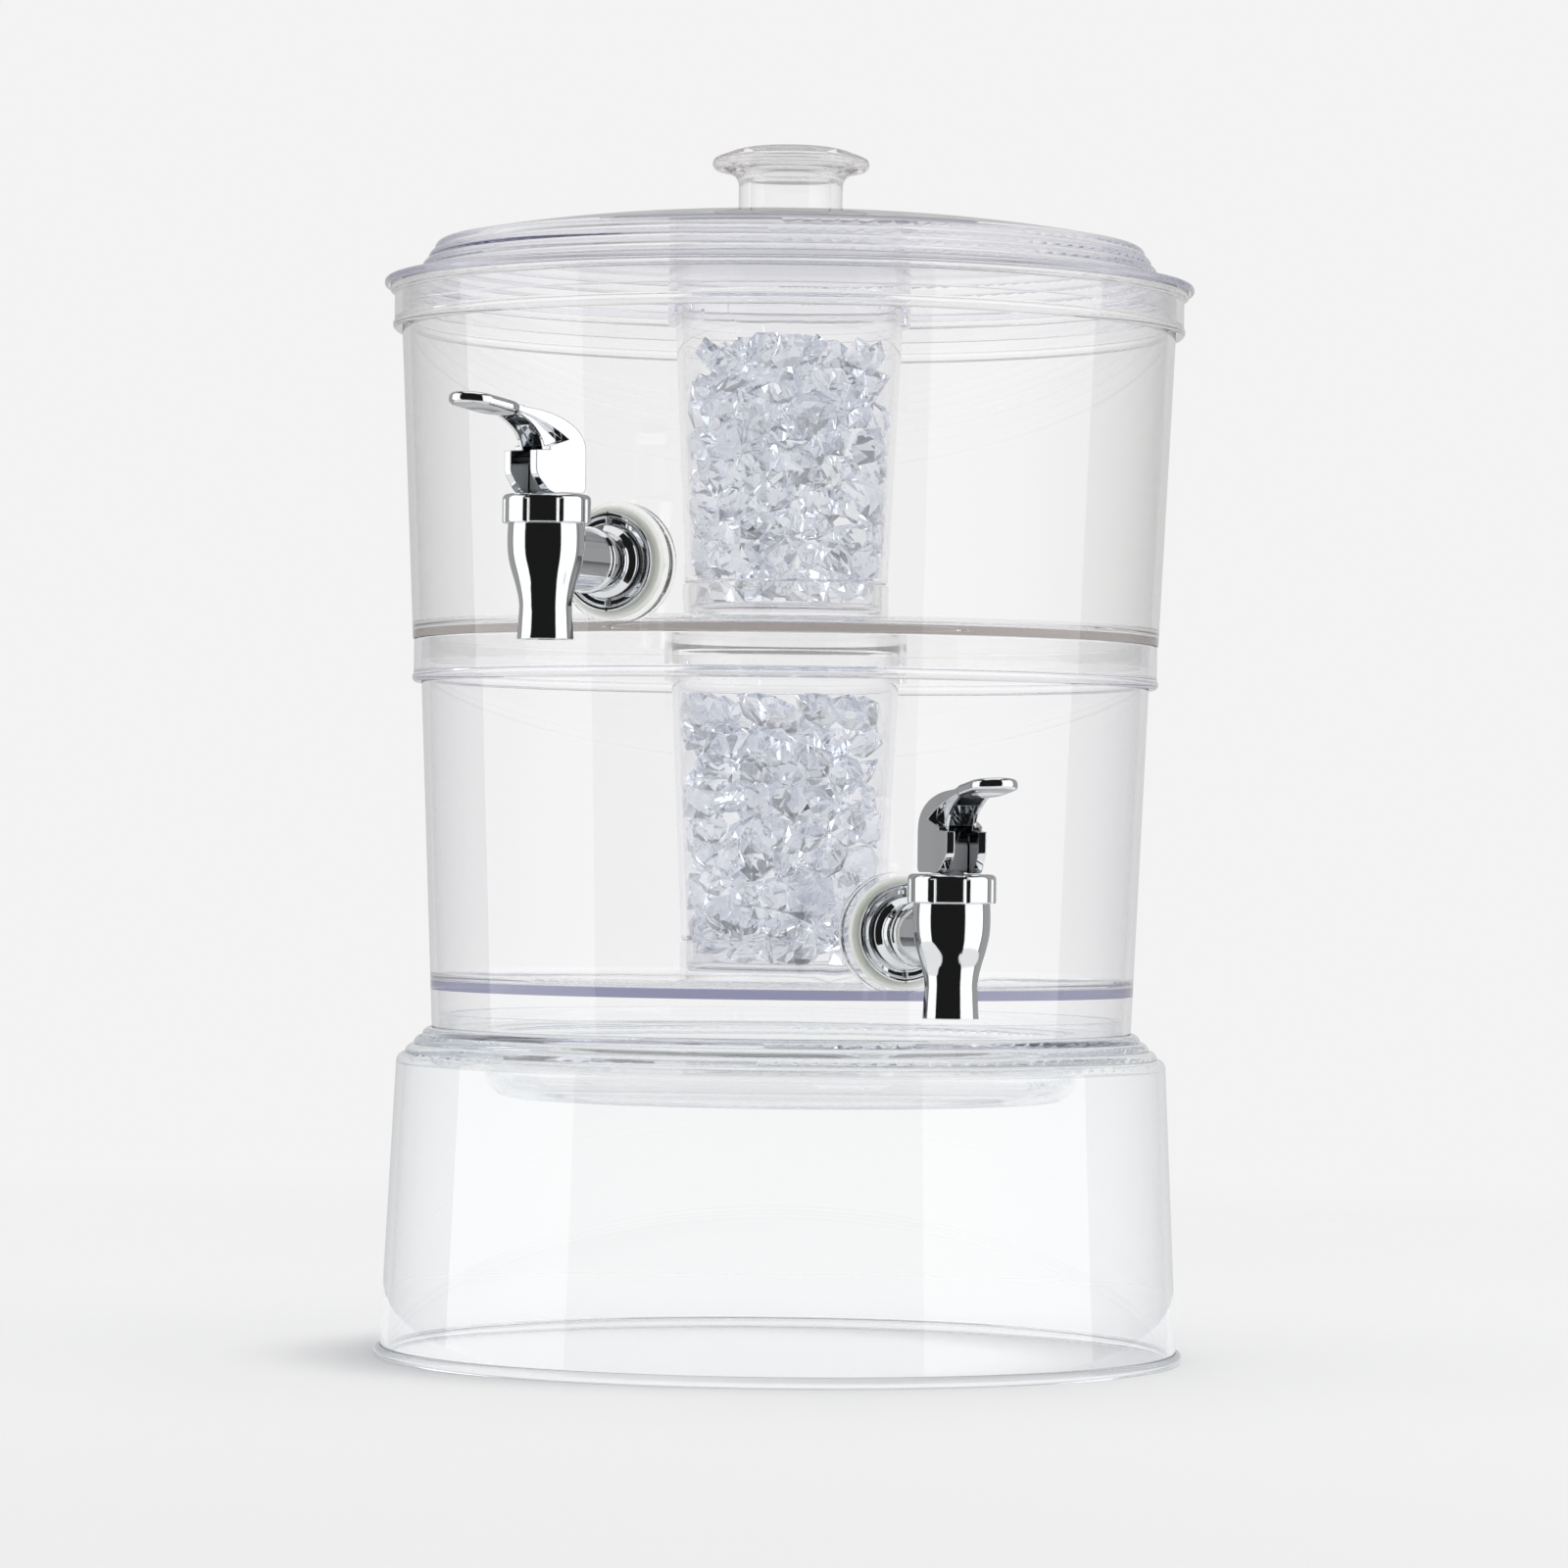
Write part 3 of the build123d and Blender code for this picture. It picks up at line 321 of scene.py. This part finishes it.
# %% [markdown]
# The tanks, the stand, the lid, its knob and the cores are moulded in clear styrene acrylonitrile, a glassy
# plastic with a faint toner. A thin wall looks colourless, and an edge seen end on, where light has come a
# long way through the plastic, shows the toner. So the colour is in the volume and not on the surface.
# Fine wipe marks, drawn coarser than real ones, make the gloss uneven, and a wall seen at a glance is
# dimmer. Tracing lamp light through bent glass is slow and noisy. Rays to lamps pass straight through
# instead, and lose what a wall would mirror: little when they cross it squarely and nearly all at a
# glance. A ray that has been bent many times goes straight on too, because nobody can tell where its
# light comes from, and so does a ray that the chrome has mirrored, so the taps show the studio and not
# the tank behind them.

# %% Clear plastic
WIPE_MM = 5.0
WIPE_SPAN = (0.62, 0.8)
WIPE_DETAIL = 3.0
EDGE_POWER = 2.0
TONER_PER_M = 20.0
SQUARE_PASS = 1.0
GLANCE_POWER = 9.0
DEEP_BOUNCES = 7.5
FIRST_CROSSING = 0.5


def clear_plastic(name, ior, gloss, tint_hex, edge_hex):
    """Clear moulded plastic: glass with a toned volume, uneven gloss and an edge colour, clear to lamps."""
    material, tree = blank_material(name)
    place = node(tree, "ShaderNodeTexCoord").outputs["Object"]
    marks = {"Vector": place, "Scale": per_metre(WIPE_MM), "Detail": WIPE_DETAIL}
    wipe = node(tree, "ShaderNodeTexNoise", marks)
    uneven = node(tree, MAP_RANGE, (wipe, *WIPE_SPAN, *gloss), **SMOOTH)
    glance = node(tree, "ShaderNodeLayerWeight").outputs["Facing"]
    edge_share = node(tree, MATHS, (glance, EDGE_POWER), operation="POWER")
    edge_tones = {"Factor": edge_share, 6: linear(WHITE_HEX), 7: linear(edge_hex)}
    edge = node(tree, "ShaderNodeMix", edge_tones, data_type="RGBA").outputs[2]
    glass = {"Base Color": edge, "Roughness": uneven, "IOR": ior, "Transmission Weight": 1.0}
    body = node(tree, "ShaderNodeBsdfPrincipled", glass)

    lost = node(tree, MATHS, (glance, GLANCE_POWER), operation="POWER")
    passed = node(tree, MATHS, (SQUARE_PASS, lost), operation="SUBTRACT")
    clear = node(tree, "ShaderNodeBsdfTransparent", {"Color": passed})
    path = node(tree, "ShaderNodeLightPath").outputs
    to_lamp = node(tree, MATHS, (path["Is Shadow Ray"], path["Is Diffuse Ray"]), operation="MAXIMUM")
    deep = node(tree, MATHS, (path["Ray Depth"], DEEP_BOUNCES), operation="GREATER_THAN")
    outside = node(tree, MATHS, (path["Transmission Depth"], FIRST_CROSSING), operation="LESS_THAN")
    mirrored = node(tree, MATHS, (path["Is Glossy Ray"], outside), operation="MINIMUM")
    unbent = node(tree, MATHS, (deep, mirrored), operation="MAXIMUM")
    straight = node(tree, MATHS, (to_lamp, unbent), operation="MAXIMUM")
    surface = node(tree, "ShaderNodeMixShader", (straight, body, clear))
    toner = node(tree, "ShaderNodeVolumeAbsorption", {"Color": linear(tint_hex), "Density": TONER_PER_M})
    node(tree, "ShaderNodeOutputMaterial", {"Surface": surface, "Volume": toner})
    return material


# %% [markdown]
# The mouldings differ a little. The lid is the deepest lavender, the lower tank and the cores are a paler
# one, the stand is bluish, and the upper tank and the knob are nearly grey. Ice is clear too, and bends
# light less than the plastic, so the same recipe serves with a lower index and a blue-grey tint.

# %% Five clear materials
SAN_IOR = 1.52
SAN_GLOSS = (0.0, 0.012)
ICE_IOR = 1.31
ICE_GLOSS = (0.0, 0.02)
lid_plastic = clear_plastic("clear_SAN_lid", SAN_IOR, SAN_GLOSS, "#B8B8D0", "#DCDCE0")
lavender_plastic = clear_plastic("clear_SAN_lavender", SAN_IOR, SAN_GLOSS, "#E4E4ED", "#DADADC")
grey_plastic = clear_plastic("clear_SAN_grey", SAN_IOR, SAN_GLOSS, "#EAE8E7", "#C2C2C2")
blue_plastic = clear_plastic("clear_SAN_blue", SAN_IOR, SAN_GLOSS, "#E4EAF0", "#ECEFF2")
clear_ice = clear_plastic("clear_ice", ICE_IOR, ICE_GLOSS, "#96A6C2", "#C2CCE2")
print("clear materials:", [material.name for material in bpy.data.materials if "clear" in material.name])

# %% [markdown]
# The ice in the cores is in chips. Each chip is a lump with sharp flat facets, and the heap sparkles
# because the facets face every way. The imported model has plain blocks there. A simulation could drop
# chips into the cup, but rings of chips against the wall and a few in the middle, all shaken a little,
# look as full and let more light through. Each chip starts as an icosahedron, which has about as many
# facets as a broken lump of ice.

# %% One chip
GOLDEN = (1 + math.sqrt(5)) / 2
LONGEST_SIDE = 2.1


def icosahedron():
    """Twelve corners of three golden rectangles set crosswise, and the triangles between nearest corners.

    Nearest corners are 2 apart, so three corners with no side over LONGEST_SIDE make a face.
    """
    flat = np.array([(0, one, GOLDEN * two) for one in (-1, 1) for two in (-1, 1)])
    corners = np.concatenate([flat, flat[:, [1, 2, 0]], flat[:, [2, 0, 1]]])
    trios = np.array(list(itertools.combinations(range(len(corners)), 3)))
    sides = corners[trios] - corners[np.roll(trios, 1, axis=1)]
    faces = trios[np.all(np.linalg.norm(sides, axis=2) < LONGEST_SIDE, axis=1)]
    a, b, c = (corners[faces[:, i]] for i in range(3))
    inward = np.einsum("ij,ij->i", np.cross(b - a, c - a), a) < 0
    faces[inward] = faces[inward][:, ::-1]
    return corners / np.linalg.norm(corners[0]), faces


chip_corners, chip_faces = icosahedron()
print("a chip has", len(chip_corners), "corners and", len(chip_faces), "facets")

# %% [markdown]
# A heap is made of all its chips at once. Every chip's corners are pushed in and out and squashed, the
# chip is turned at random and put in its place, and what would reach through the cup is drawn in to the
# wall. The seeds are fixed, so each run gives the same two heaps.

# %% Heaps of chips
LAYER_STEP = 0.0105
RINGS = ((10, 0.77), (4, 0.34))
CHIP_SHAKE = 0.0028
CHIP_REACH = (0.0066, 0.0104)
CORNER_PUSH = (0.55, 1.25)
CHIP_SQUASH = (0.75, 1.2)
CUP_WALL = 0.0022
CUP_TAPER = 0.887
CUP_GAP = 0.0004
CHIP_SEEDS = {"lower": 11, "upper": 23}


def ring_centres(heights, around, out):
    """Places evenly round a circle of radius out on every layer, each layer turned by half a step."""
    layer, index = np.meshgrid(np.arange(len(heights)), np.arange(around), indexing="ij")
    turn = (index + layer / 2) * 2 * math.pi / around
    return np.stack([out * np.cos(turn), out * np.sin(turn), heights[layer]], -1).reshape(-1, 3)


def chip_heap(bottom, top, wide, seed):
    """Corners and faces of a heap of chips in a cup, from bottom to top. The cup's radius is wide at the top.

    Lower down it is wide times a share that goes evenly from CUP_TAPER at the bottom to 1 at the top.
    """
    dice = np.random.default_rng(seed)
    heights = np.arange(bottom + CHIP_REACH[0], top - CHIP_REACH[0] / 2, LAYER_STEP)
    centres = np.concatenate([ring_centres(heights, around, share * wide) for around, share in RINGS])
    centres += dice.uniform(-CHIP_SHAKE, CHIP_SHAKE, centres.shape)
    count = len(centres)

    pushes = dice.uniform(*CORNER_PUSH, (count, len(chip_corners), 1))
    lumps = chip_corners * pushes * dice.uniform(*CHIP_SQUASH, (count, 1, 3))
    turns = np.linalg.qr(dice.normal(size=(count, 3, 3)))[0]
    turns *= np.sign(np.linalg.det(turns))[:, None, None]
    reach = dice.uniform(*CHIP_REACH, (count, 1, 1))
    corners = np.einsum("nij,nkj->nki", turns, lumps) * reach + centres[:, None, :]

    corners[..., 2] = np.clip(corners[..., 2], bottom, top)
    share = (corners[..., 2] - bottom) / (top - bottom)
    room = wide * (CUP_TAPER + (1 - CUP_TAPER) * share) - CUP_GAP
    shrink = np.minimum(1, room / np.hypot(corners[..., 0], corners[..., 1]))
    corners[..., :2] *= shrink[..., None]
    triangles = chip_faces + len(chip_corners) * np.arange(count)[:, None, None]
    return corners.reshape(-1, 3), triangles.reshape(-1, 3)


for tier, seed in CHIP_SEEDS.items():
    low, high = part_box(f"{tier}_ice_chips")
    cup_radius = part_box(f"{tier}_ice_core")[1].x - CUP_WALL
    points, triangles = chip_heap(low.z, high.z, cup_radius, seed)
    heap = put_mesh(f"{tier}_ice_crystals", points, triangles, clear_ice, smooth=False)
    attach(heap, f"{tier}_core")
    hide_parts(f"{tier}_ice_chips")
    print(heap.name, len(points) // len(chip_corners), "chips,", len(triangles), "triangles")

# %% [markdown]
# The taps are moulded plastic plated with chrome. Plating is a mirror: its colour is nearly neutral with
# a cool cast, and its surface has the slight orange peel of the plastic under it. Plated edges are never
# sharp, and each one draws a thin line of light or dark. A bevel in the mesh would change the packed
# shape, so a bevel in the shading rounds them.

# %% Chrome plating
CHROME_HEX = "#EEF0F2"
PEEL_MM = 2.6
PEEL_DETAIL = 1.0
PEEL_DEPTH = 0.000003
HAZE_SPAN = (0.3, 0.7)
HAZE = (0.01, 0.04)
EDGE_ROUND = 0.0006
EDGE_SAMPLES = 6

chrome, tree = blank_material("chrome_plating")
place = node(tree, "ShaderNodeTexCoord").outputs["Object"]
dimples = {"Vector": place, "Scale": per_metre(PEEL_MM), "Detail": PEEL_DETAIL}
peel = node(tree, "ShaderNodeTexNoise", dimples)
haze = node(tree, MAP_RANGE, (peel, *HAZE_SPAN, *HAZE), **SMOOTH)
rounded = node(tree, "ShaderNodeBevel", {"Radius": EDGE_ROUND}, samples=EDGE_SAMPLES)
bump = node(tree, "ShaderNodeBump", {"Height": peel, "Distance": PEEL_DEPTH, "Normal": rounded})
mirror = {"Base Color": linear(CHROME_HEX), "Metallic": 1.0, "Roughness": haze, "Normal": bump}
plate = node(tree, "ShaderNodeBsdfPrincipled", mirror)
node(tree, "ShaderNodeOutputMaterial", {"Surface": plate})
print("plating:", chrome.name, "with edges rounded by", EDGE_ROUND * 1000, "mm")

# %% [markdown]
# The washers are soft milky silicone, the nut white polypropylene, the stem grey acetal and the spring
# drawn steel wire. Each could be one flat colour, but moulded and drawn parts are never quite even, so
# each gets a faint mottle, which also varies its gloss. Light goes a little way into the silicone.

# %% Soft and plain parts
MOTTLE_SPAN = (0.2, 0.8)
MOTTLE_DETAIL = 4.0
GLOSS_SWING = 0.08
INNER_REACH = (0.004, 0.004, 0.0035)


def moulded(name, light_hex, dark_hex, roughness, mottle_mm, metallic=0.0, inner=0.0):
    """A moulded or drawn material: two tones in a soft mottle, which also varies the gloss."""
    material, tree = blank_material(name)
    place = node(tree, "ShaderNodeTexCoord").outputs["Object"]
    cells = {"Vector": place, "Scale": per_metre(mottle_mm), "Detail": MOTTLE_DETAIL}
    mottle = node(tree, "ShaderNodeTexNoise", cells)
    tones = {"Factor": mottle, 6: linear(light_hex), 7: linear(dark_hex)}
    tone = node(tree, "ShaderNodeMix", tones, data_type="RGBA").outputs[2]
    gloss = (roughness - GLOSS_SWING, roughness + GLOSS_SWING)
    body = node(
        tree,
        "ShaderNodeBsdfPrincipled",
        {
            "Base Color": tone,
            "Roughness": node(tree, MAP_RANGE, (mottle, *MOTTLE_SPAN, *gloss), **SMOOTH),
            "Metallic": metallic,
            "Subsurface Weight": inner,
            "Subsurface Radius": INNER_REACH,
            "Subsurface Scale": 1.0,
        },
    )
    node(tree, "ShaderNodeOutputMaterial", {"Surface": body})
    return material


silicone = moulded("milky_silicone", "#F0F2EC", "#E4E8E0", 0.38, 4.0, inner=0.4)
nut_plastic = moulded("white_polypropylene", "#F4F4F2", "#E9E9E6", 0.45, 3.0)
stem_plastic = moulded("grey_acetal", "#D0D4D8", "#C4C8CD", 0.4, 3.0)
wire = moulded("drawn_spring_steel", "#B9BBBD", "#A6A8AB", 0.3, 1.5, metallic=1.0)
print("soft and plain:", [material.name for material in (silicone, nut_plastic, stem_plastic, wire)])

# %% [markdown]
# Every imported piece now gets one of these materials. The two taps are alike, so one list serves both.

# %% Give each piece its material
FINISH = {
    "base_stand": blue_plastic,
    "lower_tank": lavender_plastic,
    "upper_tank": grey_plastic,
    "lid": lid_plastic,
    "lid_knob": grey_plastic,
    "lower_ice_core": lavender_plastic,
    "upper_ice_core": lavender_plastic,
    "lower_ice_chips": clear_ice,
    "upper_ice_chips": clear_ice,
}
TAP_FINISH = {
    "body": chrome,
    "bonnet": chrome,
    "lever": chrome,
    "pin": chrome,
    "bonnet_gasket": silicone,
    "outer_washer": silicone,
    "inner_washer": silicone,
    "seal": silicone,
    "nut": nut_plastic,
    "stem": stem_plastic,
    "spring": wire,
}
for tier in ("lower", "upper"):
    for piece, material in TAP_FINISH.items():
        FINISH[f"{tier}_tap_{piece}"] = material
for name, material in FINISH.items():
    nodes[name].data.materials.clear()
    nodes[name].data.materials.append(material)
print("dressed:", len(FINISH), "of", len(nodes))

# %% [markdown]
# A coil spring closes each valve. When the lever lifts the stem, the spring gets shorter against the bonnet
# above it. A piece that follows one body keeps its length, so a copy stands for each packed spring, follows
# its tank and keeps the packed length. The imported mesh is loose triangles, and the copy joins them at
# their corners first.

# %% Springs
SAME_PLACE_DIGITS = 7


def joined(mesh):
    """Points and triangles of a mesh of loose triangles: corners in the same place become one point."""
    places = np.empty(3 * len(mesh.vertices))
    mesh.vertices.foreach_get("co", places)
    corners = np.empty(len(mesh.loops), int)
    mesh.loops.foreach_get("vertex_index", corners)
    rounded_places = places.reshape(-1, 3).round(SAME_PLACE_DIGITS)
    points, same = np.unique(rounded_places, axis=0, return_inverse=True)
    return points, same.ravel()[corners].reshape(-1, 3)


for tier in ("lower", "upper"):
    packed_spring = f"{tier}_tap_spring"
    low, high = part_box(packed_spring)
    coil = put_mesh(f"{tier}_tap_coil", *joined(nodes[packed_spring].data), wire)
    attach(coil, f"{tier}_tank")
    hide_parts(packed_spring)
    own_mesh(coil)

# %% [markdown]
# A ray through the middle of the dispenser crosses four clear walls and a dozen ice chips, so it needs
# many bounces before it reaches the backdrop. Too few would leave black spots in the ice. The crossings
# that a ray makes straight on have a limit of their own, which is higher still.

# %% Light paths
BOUNCES = 16
STRAIGHT_CROSSINGS = 64

scene.cycles.max_bounces = BOUNCES
scene.cycles.transmission_bounces = BOUNCES
scene.cycles.glossy_bounces = BOUNCES
scene.cycles.transparent_max_bounces = STRAIGHT_CROSSINGS
scene.cycles.caustics_reflective = False
scene.cycles.caustics_refractive = False
scene.view_settings.view_transform = "Standard"
print("bounces:", BOUNCES, "straight crossings:", STRAIGHT_CROSSINGS)
